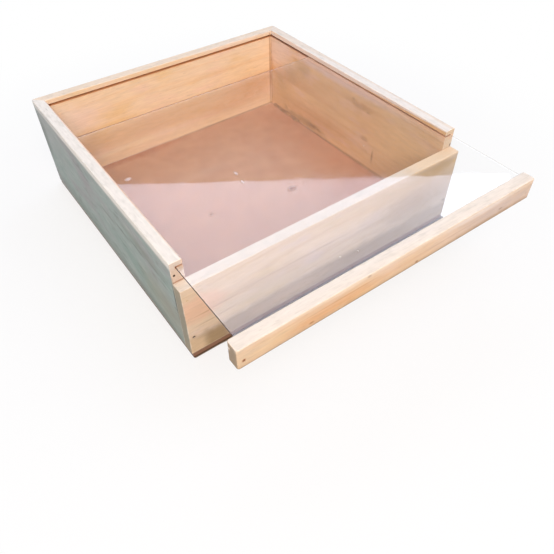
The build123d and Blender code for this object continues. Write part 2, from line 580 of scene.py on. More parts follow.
    def _streaks(self, nodes: Nodes, seed: int, length: float, width: float) -> bpy.types.Node:
        """Adds streaks along the grain, drawn as coarse as they need to be to show.

        Args:
            nodes: The material's nodes.
            seed: Sets these streaks apart from the board's others.
            length: How long they are, in millimetres.
            width: How wide they are, in millimetres.

        Returns:
            A streaky pattern from 0 to 1.
        """
        drawn_out = nodes.add(
            "VectorMath", {0: nodes.place, 1: (width / length, 1.0, 1.0)}, operation="MULTIPLY"
        )
        return nodes.add(
            "TexNoise",
            {"Vector": drawn_out, "W": self.seed + seed, "Scale": 1 / width, "Detail": 3.0},
            **SEEDED,
        )

    def _knife_marks(self, nodes: Nodes) -> bpy.types.Node:
        """Adds the ripples that a planer's knives leave.

        Args:
            nodes: The material's nodes.

        Returns:
            A wave from -1 to 1.
        """
        along = nodes.add("SeparateXYZ", {0: nodes.place})
        turn = nodes.add("Math", {0: along, 1: math.tau / self.knife}, operation="MULTIPLY")
        return nodes.add("Math", {0: turn}, operation="SINE")

    def _arrises(self, nodes: Nodes) -> bpy.types.Node:
        """Finds the worn arrises: of a place's distances to three faces, the middle one counts.

        Args:
            nodes: The material's nodes.

        Returns:
            How worn the wood is, from 0.
        """
        spot = nodes.spot.outputs["Object"]
        below = nodes.add("VectorMath", {0: spot, 1: self.low}, operation="SUBTRACT")
        above = nodes.add("VectorMath", {0: self.high, 1: spot}, operation="SUBTRACT")
        near = nodes.add("VectorMath", {0: below, 1: above}, operation="MINIMUM")
        one, two, three = nodes.add("SeparateXYZ", {0: near}).outputs
        lesser = nodes.add("Math", {0: one, 1: two}, operation="MINIMUM")
        greater = nodes.add("Math", {0: one, 1: two}, operation="MAXIMUM")
        nearest = nodes.add("Math", {0: greater, 1: three}, operation="MINIMUM")
        edge = nodes.add("Math", {0: lesser, 1: nearest}, operation="MAXIMUM")
        patchy = self._streaks(nodes, seed=23, length=30.0, width=6.0)
        widths = {3: 0.2 * MM, 4: self.worn * MM}
        width = nodes.add("MapRange", {0: patchy, 1: 0.4, 2: 0.7, **widths})
        share = nodes.add("Math", {0: edge, 1: width}, operation="DIVIDE")
        return nodes.add("MapRange", {0: share, 1: 1.0, 2: 0.0, 3: 0.0, 4: 0.4}, **SOFT)


@dataclass(frozen=True)
class Hardboard(Finish):
    """Pressed hardboard: a smooth brown face of fine fibres, screen-marked underneath.

    Attributes:
        name: The material's name.
        face: Colour of the smooth face.
        fleck: Colour of its darker fibres.
        edge: Colour of the sawn edge.
        dirt_and_painted_light: Colour along the foot of that edge: soiling, with painted shade
            where
        case and floor meet.
        screen: Spacing of the press screen's wires underneath, in millimetres.
        stains: The patches on it, in the case's frame in millimetres.
    """

    name: str = "pressed hardboard"
    face: str = "#D1A484"
    fleck: str = "#C9997C"
    edge: str = "#7B543C"
    dirt_and_painted_light: str = "#33241C"
    screen: float = 2.4
    stains: tuple[Stain, ...] = ()

    def _shade(self, nodes: Nodes) -> bpy.types.Node:
        """Adds smooth board with its fibres, its stains, and its sawn edge with soiling and
        painted shade at its foot.

        Args:
            nodes: The material's nodes.

        Returns:
            The node that shades the surface.
        """
        place = nodes.place
        mottle = nodes.add("TexNoise", {"Vector": place, "Scale": 1 / 25.0, "Detail": 4.0})
        # The fibres are a fifth of a millimetre thick; these are five times as coarse.
        flecks = nodes.add("TexNoise", {"Vector": place, "Scale": 1 / 1.2, "Detail": 3.0})
        blend = nodes.add("Math", {0: mottle, 1: flecks}, operation="MULTIPLY")
        blend = nodes.add("MapRange", {0: blend, 1: 0.12, 2: 0.4, 3: 1.0, 4: 0.0})
        wobble = nodes.add("MapRange", {0: mottle, 3: -0.4, 4: 0.4})
        coats = [(blend, self.fleck)]
        coats += [(stain.share(nodes, wobble), stain.colour) for stain in self.stains]
        up = nodes.add("SeparateXYZ", {0: nodes.spot.outputs["Normal"]}).outputs[2]
        sawn = nodes.add("Math", {0: up}, operation="ABSOLUTE")
        sawn = nodes.add("MapRange", {0: sawn, 1: 0.5, 2: 0.1, 3: 0.0, 4: 0.9})
        coats.append((sawn, self.edge))
        # The foot of the sawn edge is darker: soiled by what the case stood on,
        # with painted shade where case and floor meet.
        height = nodes.add("SeparateXYZ", {0: place}).outputs[2]
        foot_dirt_and_shade = nodes.add("MapRange", {0: height, 1: 1.8, 2: 0.8, 4: 0.85})
        foot_dirt_and_shade = nodes.add("Math", {0: foot_dirt_and_shade, 1: sawn}, operation="MULTIPLY")
        coats.append((foot_dirt_and_shade, self.dirt_and_painted_light))
        colour = nodes.lay(linear(self.face), coats)
        layers = nodes.add("VectorMath", {0: place, 1: (0.08, 0.08, 1.5)}, operation="MULTIPLY")
        layers = nodes.add("TexNoise", {"Vector": layers, "Scale": 1.0, "Detail": 2.0})
        tone = nodes.add("MapRange", {0: layers, 1: 0.3, 2: 0.7, 3: 0.95, 4: 1.04})
        colour = nodes.add("VectorMath", {0: colour, 3: tone}, operation="SCALE")

        marks = self._screen_marks(nodes, up)
        relief = nodes.add("Math", {0: marks, 1: 3.0, 2: flecks}, operation="MULTIPLY_ADD")
        bump = nodes.add("Bump", {"Strength": 0.5, "Distance": 0.02 * MM, "Height": relief})
        rough = nodes.add("MapRange", {0: mottle, 3: 0.45, 4: 0.6})
        return nodes.add(
            "BsdfPrincipled",
            {"Base Color": colour, "Roughness": rough, "Normal": bump, "Specular IOR Level": 0.4},
        )

    def _screen_marks(self, nodes: Nodes, up: Source) -> bpy.types.Node:
        """Adds the marks of the press screen, on the underside alone.

        Args:
            nodes: The material's nodes.
            up: How far the surface looks up.

        Returns:
            The height of the marks, from -1 to 1.
        """
        turn = math.tau / self.screen
        wave = nodes.add("VectorMath", {0: nodes.place, 3: turn}, operation="SCALE")
        wave = nodes.add("VectorMath", {0: wave}, operation="SINE")
        one, two, _ = nodes.add("SeparateXYZ", {0: wave}).outputs
        marks = nodes.add("Math", {0: one, 1: two}, operation="MULTIPLY")
        under = nodes.add("Math", {0: up, 1: -0.5}, operation="LESS_THAN")
        return nodes.add("Math", {0: marks, 1: under}, operation="MULTIPLY")


@dataclass(frozen=True)
class ClearAcrylic(Finish):
    """Cast acrylic sheet: clear and glossy, a little wavy, with one sawn edge painted dark.

    Attributes:
        name: The material's name.
        tint: Colour of the sheet itself.
        edge: Colour of the sawn left edge, a painted reflection of the dark wood seen through it.
        sawn_side: The sheet is sawn to the left of this, in millimetres.
        polished: Colour that the other, polished edges let through.
        frosted: How far scratches have frosted those.
        dust: Colour of the specks that lie on it.
        dust_spacing: How far apart specks can lie, in millimetres; one in ten is there.
        ior: How strongly it bends light.
        pass_light: How much light each face lets through to what lies under the sheet.
        marks: The smudges on it, the pale ones partly painted glints, in the case's frame in
            millimetres.
    """

    name: str = "clear acrylic"
    tint: str = "#FFFFFF"
    edge: str = "#4E2E26"
    sawn_side: float = 0.0
    polished: str = "#FAFBFB"
    frosted: float = 0.2
    dust: str = "#F2EEEA"
    dust_spacing: float = 14.0
    ior: float = 1.49
    pass_light: str = "#FAFAFA"
    marks: tuple[Stain, ...] = ()

    def _shade(self, nodes: Nodes) -> bpy.types.Node:
        """Adds the sheet, glossy on its faces and dull on its edges.

        Args:
            nodes: The material's nodes.

        Returns:
            The node that shades the surface.
        """
        up = nodes.add("SeparateXYZ", {0: nodes.spot.outputs["Normal"]}).outputs[2]
        flat = nodes.add("Math", {0: up}, operation="ABSOLUTE")
        sheet = nodes.add("MixShader", {0: flat, 1: self._edges(nodes), 2: self._face(nodes)})
        # Light reaches what lies under the sheet, as it does through the real one.
        rays = nodes.add("LightPath").outputs
        sides = {0: rays["Is Shadow Ray"], 1: rays["Is Diffuse Ray"]}
        lit = nodes.add("Math", sides, operation="MAXIMUM")
        through = nodes.add("BsdfTransparent", {"Color": linear(self.pass_light)})
        return nodes.add("MixShader", {0: lit, 1: sheet, 2: through})

    def _edges(self, nodes: Nodes) -> bpy.types.Node:
        """Adds the sawn left edge and the polished others.

        Args:
            nodes: The material's nodes.

        Returns:
            The node that shades the edges.
        """
        # The sawn edge's dark brown is painted: it stands for the wood seen through the edge.
        sawn = nodes.add(
            "BsdfPrincipled", {"Base Color": linear(self.edge), "Roughness": 0.5, "IOR": self.ior}
        )
        frost = nodes.add("BsdfPrincipled", {"Base Color": linear(self.dust), "Roughness": 0.6})
        open_edge = nodes.add("BsdfTransparent", {"Color": linear(self.polished)})
        others = nodes.add("MixShader", {0: self.frosted, 1: open_edge, 2: frost})
        side = nodes.add("SeparateXYZ", {0: nodes.place})
        left = nodes.add("Math", {0: side, 1: self.sawn_side}, operation="LESS_THAN")
        return nodes.add("MixShader", {0: left, 1: others, 2: sawn})

    def _face(self, nodes: Nodes) -> bpy.types.Node:
        """Adds the clear faces with their dust, smudges and painted glints.

        Args:
            nodes: The material's nodes.

        Returns:
            The node that shades the faces.
        """
        place = nodes.place
        smears = nodes.add("TexNoise", {"Vector": place, "Scale": 1 / 55.0, "Detail": 3.0})
        rough = nodes.add("MapRange", {0: smears, 1: 0.45, 2: 0.75, 3: 0.015, 4: 0.06})
        waves = nodes.add("TexNoise", {"Vector": place, "Scale": 1 / 45.0, "Detail": 2.0})
        bump = nodes.add("Bump", {"Strength": 1.0, "Distance": 0.05 * MM, "Height": waves})
        gloss = {"Roughness": rough, "IOR": self.ior, "Transmission Weight": 1.0, "Normal": bump}
        clear = nodes.add("BsdfPrincipled", {"Base Color": linear(self.tint), **gloss})

        specks = nodes.add("TexVoronoi", {"Vector": place, "Scale": 1 / self.dust_spacing})
        near = nodes.add("MapRange", {0: specks.outputs["Distance"], 1: 0.05, 2: 0.02})
        picked = nodes.add("SeparateColor", {0: specks.outputs["Color"]})
        picked = nodes.add("Math", {0: picked, 1: 0.9}, operation="GREATER_THAN")
        cover = nodes.add("Math", {0: near, 1: picked}, operation="MULTIPLY")
        wobble = nodes.add("MapRange", {0: smears, 3: -0.5, 4: 0.5})
        coats = []
        for mark in self.marks:
            share = mark.share(nodes, wobble)
            cover = nodes.add("Math", {0: cover, 1: share}, operation="MAXIMUM")
            marked = nodes.add("Math", {0: share, 1: 0.0}, operation="GREATER_THAN")
            coats.append((marked, mark.colour))
        dirt_and_painted_light = nodes.lay(linear(self.dust), coats)
        dust = nodes.add("BsdfPrincipled", {"Base Color": dirt_and_painted_light, "Roughness": 0.9})
        return nodes.add("MixShader", {0: cover, 1: clear, 2: dust})


@dataclass(frozen=True)
class NailSteel(Finish):
    """Drawn steel wire nails: dull grey metal, browned here and there by rust."""

    name: str = "drawn nail steel"
    metal: str = "#6E6862"
    rust: str = "#4A2C1E"

    def _shade(self, nodes: Nodes) -> bpy.types.Node:
        """Adds dull metal that is rough and brown where it rusts.

        Args:
            nodes: The material's nodes.

        Returns:
            The node that shades the surface.
        """
        spots = nodes.add("TexNoise", {"Vector": nodes.place, "Scale": 1 / 0.8, "Detail": 3.0})
        rusty = nodes.add("MapRange", {0: spots, 1: 0.45, 2: 0.6}, **SOFT)
        colour = nodes.lay(linear(self.metal), [(rusty, self.rust)])
        bright = nodes.add("Math", {0: 1.0, 1: rusty}, operation="SUBTRACT")
        rough = nodes.add("MapRange", {0: spots, 3: 0.35, 4: 0.75})
        return nodes.add(
            "BsdfPrincipled", {"Base Color": colour, "Metallic": bright, "Roughness": rough}
        )


@dataclass(frozen=True)
class DriedGlue(Finish):
    """Dried white wood glue: yellowish and half clear, with a soft shine."""

    name: str = "dried wood glue"
    thin: str = "#E9D6B4"
    thick: str = "#F4ECDC"

    def _shade(self, nodes: Nodes) -> bpy.types.Node:
        """Adds cloudy glue with a finely pitted skin.

        Args:
            nodes: The material's nodes.

        Returns:
            The node that shades the surface.
        """
        place = nodes.place
        cloudy = nodes.add("TexNoise", {"Vector": place, "Scale": 1 / 5.0, "Detail": 3.0})
        cloudy = nodes.add("MapRange", {0: cloudy, 1: 0.35, 2: 0.65})
        colour = nodes.lay(linear(self.thin), [(cloudy, self.thick)])
        fine = nodes.add("TexNoise", {"Vector": place, "Scale": 1 / 1.5, "Detail": 2.0})
        bump = nodes.add("Bump", {"Strength": 0.4, "Distance": 0.1 * MM, "Height": fine})
        rough = nodes.add("MapRange", {0: cloudy, 3: 0.25, 4: 0.5})
        return nodes.add(
            "BsdfPrincipled",
            {"Base Color": colour, "Roughness": rough, "Normal": bump, "IOR": 1.47},
        )


@dataclass(frozen=True)
class StudioPaper(Finish):
    """White paper under the case: it takes the shadow near by and is plain white further out.

    Attributes:
        name: The material's name.
        bounce: Colour that it throws back onto the case.
        whiteness: How white it is where it takes the shadow.
        fade_ends: From where to where the shadow fades out, in metres from the middle.
        near_white: How far the shadow is hidden nearer than that.
        foot_middle: Middle of the patch that the case's foot shades, in millimetres.
        foot_half: Half the size of that patch.
        foot_shade: Colour of the paper right beside it.
        shade_ends: From where to where along the front the shade widens, in millimetres.
        shade_widths: How wide it is at both, in millimetres.
    """

    name: str = "studio floor"
    bounce: str = "#D2D2D2"
    whiteness: float = 0.9
    fade_ends: tuple[float, float] = (0.22, 0.5)
    near_white: float = 0.72
    foot_middle: Triple = (1.0, 0.0, 0.0)
    foot_half: Triple = (151.0, 152.5, 1.0)
    foot_shade: str = "#6A5434"
    shade_ends: tuple[float, float] = (-126.0, -92.0)
    shade_widths: tuple[float, float] = (1.7, 5.6)

    def _shade(self, nodes: Nodes) -> bpy.types.Node:
        """Adds a paper that looks white and still takes the case's shadow.

        Args:
            nodes: The material's nodes.

        Returns:
            The node that shades the surface.
        """
        rays = nodes.add("LightPath").outputs
        looks = {0: rays["Is Camera Ray"], 1: rays["Is Glossy Ray"]}
        seen = nodes.add("Math", looks, operation="MAXIMUM")
        seen = nodes.add("Math", {0: seen, 1: rays["Is Transmission Ray"]}, operation="MAXIMUM")
        away = nodes.add("VectorMath", {0: nodes.spot.outputs["Object"]}, operation="LENGTH")
        start, full = self.fade_ends
        ends = {1: start, 2: full, 3: self.near_white, 4: 1.0}
        white = nodes.add("MapRange", {0: away.outputs["Value"], **ends}, **SOFT)
        contact = self._contact(nodes)
        open_floor = nodes.add("Math", {0: 1.0, 1: contact}, operation="SUBTRACT")
        white = nodes.add("Math", {0: white, 1: open_floor}, operation="MULTIPLY")
        paint = nodes.lay((self.whiteness,) * 3 + (1.0,), [(contact, self.foot_shade)])
        matt = nodes.add("BsdfDiffuse", {"Color": linear(self.bounce)})
        paper = nodes.add("BsdfDiffuse", {"Color": paint})
        bright = nodes.add("Emission", {"Color": linear("#FFFFFF"), "Strength": 1.0})
        shown = nodes.add("MixShader", {0: white, 1: paper, 2: bright})
        return nodes.add("MixShader", {0: seen, 1: matt, 2: shown})

    def _contact(self, nodes: Nodes) -> bpy.types.Node:
        """Adds the dark line where case and floor meet, as hardly any light gets in there.

        Args:
            nodes: The material's nodes.

        Returns:
            How dark it is, from 0.
        """
        near = nodes.place
        for operation, value in (
            ("SUBTRACT", self.foot_middle),
            ("ABSOLUTE", (0.0, 0.0, 0.0)),
            ("SUBTRACT", self.foot_half),
            ("MAXIMUM", (0.0, 0.0, 0.0)),
            ("LENGTH", (0.0, 0.0, 0.0)),
        ):
            near = nodes.add("VectorMath", {0: near, 1: value}, operation=operation)
        # The shade is narrow at the left corner and wider further on.
        along = nodes.add("SeparateXYZ", {0: nodes.place})
        start, full = self.shade_ends
        narrow, wide = self.shade_widths
        reach = nodes.add("MapRange", {0: along, 1: start, 2: full, 3: narrow, 4: wide})
        near = nodes.add("Math", {0: near.outputs["Value"], 1: reach}, operation="DIVIDE")
        return nodes.add("MapRange", {0: near, 1: 1.0, 2: 0.35, 3: 0.0, 4: 0.97}, **SOFT)


def loft(name: str, rings: Sequence[Sequence[Vector]]) -> bpy.types.Object:
    """Skins a row of closed rings that have as many points each, and closes both ends.

    Args:
        name: What the piece is called.
        rings: The rings, in metres, all running the same way round.

    Returns:
        The new piece, smooth-shaded and in the scene.
    """
    around = len(rings[0])
    points = [point for ring in rings for point in ring]
    faces = []
    for start in range(0, (len(rings) - 1) * around, around):
        for number in range(around):
            one, two = start + number, start + (number + 1) % around
            faces.append((one, two, two + around, one + around))
    faces.append(tuple(reversed(range(around))))
    faces.append(tuple(range(len(points) - around, len(points))))
    mesh = bpy.data.meshes.new(name)
    mesh.from_pydata(points, [], faces)
    mesh.validate()
    for face in mesh.polygons:
        face.use_smooth = True
    return place_in_scene(name, mesh)


def place_in_scene(name: str, data: bpy.types.ID) -> bpy.types.Object:
    """Puts a mesh, a lamp or a camera into the scene.

    Args:
        name: What the object is called.
        data: The mesh, the lamp or the camera.

    Returns:
        The new object.
    """
    placed = bpy.data.objects.new(name, data)
    bpy.context.scene.collection.objects.link(placed)
    return placed


@dataclass(frozen=True)
class GlueBead:
    """A bead of glue squeezed out along an inside corner, as uneven as it dried.

    Attributes:
        name: What the piece is called.
        start: Where it starts in the corner.
        end: Where it ends.
        over: The way that it spreads on the one face.
        up: The way that it climbs the other face.
        spread: How far it spreads, in millimetres.
        climb: How far it climbs, in millimetres.
        uneven: How much both change along it, as a share.
        lump: How long its lumps are, in millimetres.
        run_out: How long each end takes to run out to nothing, in millimetres.
        seed: Sets its lumps apart from another bead's.
    """

    name: str
    start: Vector
    end: Vector
    over: Vector
    up: Vector
    spread: float
    climb: float
    uneven: float = 0.5
    lump: float = 7.0
    run_out: float = 4.0
    seed: float = 0.0

    def build(self) -> bpy.types.Object:
        """Makes the bead's mesh, with a section every millimetre and a half.

        Returns:
            The bead.
        """
        length = (self.end - self.start).length / MM
        stations = max(8, round(length / 1.5))
        rings = []
        for station in range(stations + 1):
            share = station / stations
            place = share * length / self.lump
            swell = 1 + self.uneven * 2 * noise.noise(Vector((place, self.seed, 0)))
            lean = 1 + self.uneven * noise.noise(Vector((place, self.seed, 9)))
            ends = (share * length / self.run_out, (1 - share) * length / self.run_out)
            taper = max(0.02, min(1.0, *ends)) ** 0.5
            corner = self.start.lerp(self.end, share)
            rings.append(self._ring(corner, swell * taper, lean * taper))
        return loft(self.name, rings)

    def _ring(self, corner: Vector, spread: float, climb: float) -> list[Vector]:
        """Works out one section: the corner, and a hollow curve from one face to the other.

        Args:
            corner: Where the two faces meet.
            spread: How far it spreads here, as a share.
            climb: How far it climbs here, as a share.

        Returns:
            The section's points.
        """
        over = self.over * self.spread * spread * MM
        up = self.up * self.climb * climb * MM
        points = [corner]
        for step in range(6):
            turn = step / 5
            belly = 1 - 0.225 * math.sin(math.pi * turn)
            points.append(corner + (over * (1 - turn) + up * turn) * belly)
        return points


@dataclass(frozen=True)
class GluePlug:
    """Glue that fills the end of the rail's slot, beyond the edge of the sheet.

    Attributes:
        name: What the piece is called.
        low: Its lowest corner.
        high: Its highest corner.
        seed: Sets its lumps apart from another plug's.
    """

    name: str
    low: Vector
    high: Vector
    seed: float = 0.0

    def build(self) -> bpy.types.Object:
        """Makes the plug's mesh, which shrank a little as it dried.

        Returns:
            The plug.
        """
        middle = (self.low + self.high) / 2
        half = (self.high - self.low) / 2
        stations, around = 10, 16
        rings = []
        for station in range(stations + 1):
            along = -1 + 2 * station / stations
            dome = max(0.05, 1 - abs(along) ** 6) ** 0.5
            ring = []
            for number in range(around):
                turn = math.tau * number / around
                shrunk = 0.9 + 0.1 * noise.noise(Vector((along * 2, math.cos(turn), self.seed)))
                wide, tall = (
                    math.copysign(abs(part) ** 0.5, part) * shrunk * dome
                    for part in (math.cos(turn), math.sin(turn))
                )
                ring.append(middle + Vector((along * half.x, wide * half.y, tall * half.z)))
            rings.append(ring)
        return loft(self.name, rings)


def nail_heights(node_name: str, apart: float = 5.0) -> list[float]:
    """Finds how high each nail of a group lies.

    Args:
        node_name: The CAD node that holds the group.
        apart: Points further apart than this, in millimetres, are on different nails.

    Returns:
        Each nail's height, in metres.
    """
    heights = sorted(vertex.co.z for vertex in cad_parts[node_name].data.vertices)
    nails = [[heights[0]]]
    for height in heights[1:]:
        if height - nails[-1][-1] > apart * MM:
            nails.append([])
        nails[-1].append(height)
    return [(nail[0] + nail[-1]) / 2 for nail in nails]


@dataclass(frozen=True)
class CaseWalls:
    """The four pine walls.

    Attributes:
        rust: Colour of the rust round the nails.
        rust_reach: How far it has crept from a nail's middle, in millimetres.
        groove: How high the saw groove's floor and roof are, in millimetres.
    """

    rust: str = "#8A6248"
    rust_reach: float = 2.6
    groove: tuple[float, float] = (97.1, 99.7)

    def dress(self) -> None:
        """Gives each wall its own board of pine."""
        self._left().dress("left_side_wall")
        self._right().dress("right_side_wall")
        self._back().dress("back_wall")
        self._front().dress("front_wall")

    def _board(self, node_name: str, nails: Sequence[str] = (), **choice: Any) -> PlanedPine:
        """Fits a board of pine to a wall.

        Args:
            node_name: The wall's CAD node.
            nails: The groups of nails whose heads show on it.
            **choice: What sets this board apart from others.

        Returns:
            The board's finish, with rust round its nails.
        """
        low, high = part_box(node_name)
        name = "planed pine, " + node_name.replace("_", " ")
        board = PlanedPine(name=name, low=low, high=high, **choice)
        rust = []
        for group in nails:
            nail_low, nail_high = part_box(group)
            middle = (nail_low + nail_high) / 2
            face = low.y if middle.y < 0 else high.y
            heights = nail_heights(group)
            if group.startswith("front"):
                heights.remove(max(heights))  # the upper one is filled over
            for height in heights:
                spot = board.on_board(Vector((middle.x, face, height)))
                rust.append(Stain(spot, (self.rust_reach,) * 3, self.rust, 0.55, 0.8))
        return replace(board, stains=board.stains + tuple(rust))

    def _left(self) -> PlanedPine:
        """Fits the left wall's board, whose outer face carries painted shade in grey and green.

        Returns:
            The board's finish.
        """
        pin_hole = (-141.0, 40.2, -2.9)
        # A grey streak drops from the front end towards the back.
        streak = (
            Stain((along, 8.1 - 0.105 * along, NEAR_FACE), (26.0, 3.0, SKIN), "#767A72", 0.5, 0.9)
            for along in (-20.0, -50.0, -80.0, -110.0)
        )
        return self._board(
            "left_side_wall",
            groove=self.groove,
            lie=Lie.FRONT_TO_BACK,
            seed=1.3,
            slope=-0.03,
            sanded="#F1ECE5",
            ends="#D6C3B4",
            outside=("#A9B5B0", "#96ABA3", "#ACA6A8"),
            outside_way=(-1.0, 0.0, 0.0),
            outside_share=1.0,
            sawn="#CFA486",
            # The marks on the outer face are drawn in the grey-green tones of its painted shade.
            late_stains=(
                *streak,
                Stain((-147.0, 33.3, 0.0), (2.5, 1.2, DEEP), "#9C5C3C", 0.6, 0.8, 0.4),
                Stain((-147.0, 10.0, NEAR_FACE), (3.4, 34.0, SKIN), "#4A4E44", 0.8, 0.5, 0.3),
                Stain((0.0, 49.0, 5.5), (400.0, 9.0, 1.8), "#F4D2B6", 0.8, 0.5, 0.3),
                Stain((20.0, -44.0, NEAR_FACE), (260.0, 14.0, SKIN), "#7E837D", 0.36, 0.9),
                Stain((-120.0, -16.0, NEAR_FACE), (60.0, 34.0, SKIN), "#A2A08C", 0.55, 0.9),
                Stain((-90.0, 24.0, NEAR_FACE), (60.0, 8.0, SKIN), "#8A8C80", 0.5, 0.9),
                Stain((120.0, 20.0, NEAR_FACE), (90.0, 60.0, SKIN), "#BCBCBA", 0.55, 0.9),
                Stain((139.0, 4.0, NEAR_FACE), (14.0, 38.0, SKIN), "#6E7A74", 0.5, 0.9),
                Stain((-100.0, -44.0, NEAR_FACE), (90.0, 14.0, SKIN), "#7E8378", 0.5, 0.9),
                Stain(pin_hole, (10.0, 2.0, 2.0), "#A8744A", 0.6, 0.8, 0.4),  # its worn rim
                # Painted shade: the dark inside of the pin hole.
                Stain(pin_hole, (12.0, 1.3, 1.3), "#2A1A12", 0.95, 0.3, 0.0),  # its dark inside
            ),
        )

    def _right(self) -> PlanedPine:
        """Fits the right wall's board, warm inside.

        Returns:
            The board's finish.
        """
        return self._board(
            "right_side_wall",
            groove=self.groove,
            lie=Lie.FRONT_TO_BACK,
            seed=5.1,
            early="#F6D3A2",
            late="#E0B07A",
            heart="#EABE8C",
            sanded="#EFEAE4",
            ends="#E3D0B8",
            sawn="#D2A68C",
            stains=(
                # Painted light: a pale pink pool high on the inner face near the back.
                near_stain(124.0, 30.0, 48.0, 34.0, "#F8E8E2", 0.8, 0.8),
                near_stain(72.0, 24.0, 22.0, 18.0, "#C7A578", 0.5, 0.9),
                near_stain(95.0, 10.0, 22.0, 16.0, "#C7A578", 0.5, 0.9),
                near_stain(116.0, -6.0, 22.0, 16.0, "#C7A578", 0.5, 0.9),
                near_stain(-16.0, 38.0, 180.0, 9.0, "#F9E2DE", 0.8, 0.7),
                near_stain(-58.0, 6.0, 80.0, 26.0, "#EDBA78", 0.4, 0.9),
                near_stain(118.0, -24.0, 60.0, 30.0, "#DDB87C", 0.6, 0.9),
                near_stain(-90.0, 5.0, 60.0, 60.0, "#FFDCA8", 0.5, 0.9),
                near_stain(40.0, -30.0, 90.0, 20.0, "#D4965A", 0.4, 0.9),
                near_stain(-30.0, 21.0, 30.0, 6.0, "#C08C5C", 0.45, 0.9, 2.0),
                near_stain(-19.0, 25.0, 4.0, 2.0, "#A06E44", 0.5, 0.8, 2.0),
                near_stain(-43.0, 18.0, 4.0, 1.8, "#A06E44", 0.45, 0.8, 2.0),
                near_stain(-42.0, -14.0, 9.0, 4.0, "#B88454", 0.4, 0.8, 2.0),
                near_stain(-57.0, -30.0, 1.8, 11.0, "#9A6A44", 0.6, 0.8, 0.5),
                near_stain(66.0, -42.0, 54.0, 8.0, "#A07C52", 0.5, 0.8, 1.5),
                near_stain(48.0, -40.0, 14.0, 4.0, "#835C3C", 0.5, 0.8, 2.0),
                near_stain(104.0, -38.0, 6.0, 3.0, "#7A5636", 0.3, 0.8, 2.0),
                # Painted shade: a dark line along the foot of the inner face, where wall and
                # bottom meet.
                near_stain(0.0, -48.0, 400.0, 1.8, "#7E4E30", 0.48, 0.8, 0.3),
                near_stain(137.5, 0.0, 3.4, 90.0, "#8A5028", 0.75, 0.8),
                # Painted light: the inner face of the lip above the groove is paler.
                near_stain(0.0, 47.6, 400.0, 3.4, "#FFF6F0", 0.9, 0.2, 0.3),
            ),
            late_stains=(
                # Painted shade: a dark spot on the front end, in the corner above the front wall's
                # top.
                Stain((-147.0, 27.2, 4.6), (3.0, 2.4, 2.4), "#5A4438", 0.75, 0.7),
                Stain((-147.0, 38.0, 2.0), (3.0, 5.0, 6.0), "#F0C8AC", 0.5, 0.7),
            ),
        )

    def _back(self) -> PlanedPine:
        """Fits the back wall's board, the most golden one inside.

        Returns:
            The board's finish.
        """
        return self._board(
            "back_wall",
            nails=("back_left_nails", "back_right_nails"),
            groove=self.groove,
            lie=Lie.LEFT_TO_RIGHT,
            seed=9.7,
            slope=-0.01,
            early="#FDE8CC",
            late="#F8D8AC",
            heart="#FADFB8",
            patches=("#F3D296", "#FADCC8"),
            sanded="#EEDDCB",
            sawn="#E9B688",
            stains=(
                # Painted light: the left end of the inner face is paler, against the shade that
                # the left wall casts there.
                near_stain(-122.0, 18.0, 56.0, 28.0, "#FAE6DC", 0.75, 0.9),
                near_stain(-141.0, 4.0, 34.0, 60.0, "#FFF4E2", 0.85, 0.9),
                near_stain(0.0, -17.0, 400.0, 20.0, "#E2B078", 0.55, 0.7, 0.5),
                near_stain(112.0, -14.0, 64.0, 20.0, "#E0A25E", 0.45, 1.0, 0.6),
                near_stain(80.0, -33.0, 110.0, 14.0, "#DCA066", 0.5, 1.0, 0.6),
                near_stain(104.0, 14.0, 70.0, 20.0, "#FFE6C0", 0.5, 1.0),
                near_stain(-74.0, 1.0, 40.0, 5.0, "#EFCB86", 0.45, 0.9),
                near_stain(60.0, 18.0, 120.0, 4.0, "#EFC890", 0.4, 0.9),
                # A paler band just above the bottom: partly paler wood, partly painted light
                # thrown up from the bottom panel.
                near_stain(0.0, -41.0, 330.0, 7.0, "#F4D6B2", 0.6, 0.8, 0.5),
                near_stain(0.0, -49.0, 400.0, 2.0, "#96623F", 0.6, 0.8, 0.3),
                near_stain(139.5, 0.0, 2.4, 90.0, "#A8703E", 0.6, 0.8, 0.5),
                near_stain(110.0, 47.6, 100.0, 3.4, "#FFEEDC", 0.8, 0.5, 0.3),
            ),
        )

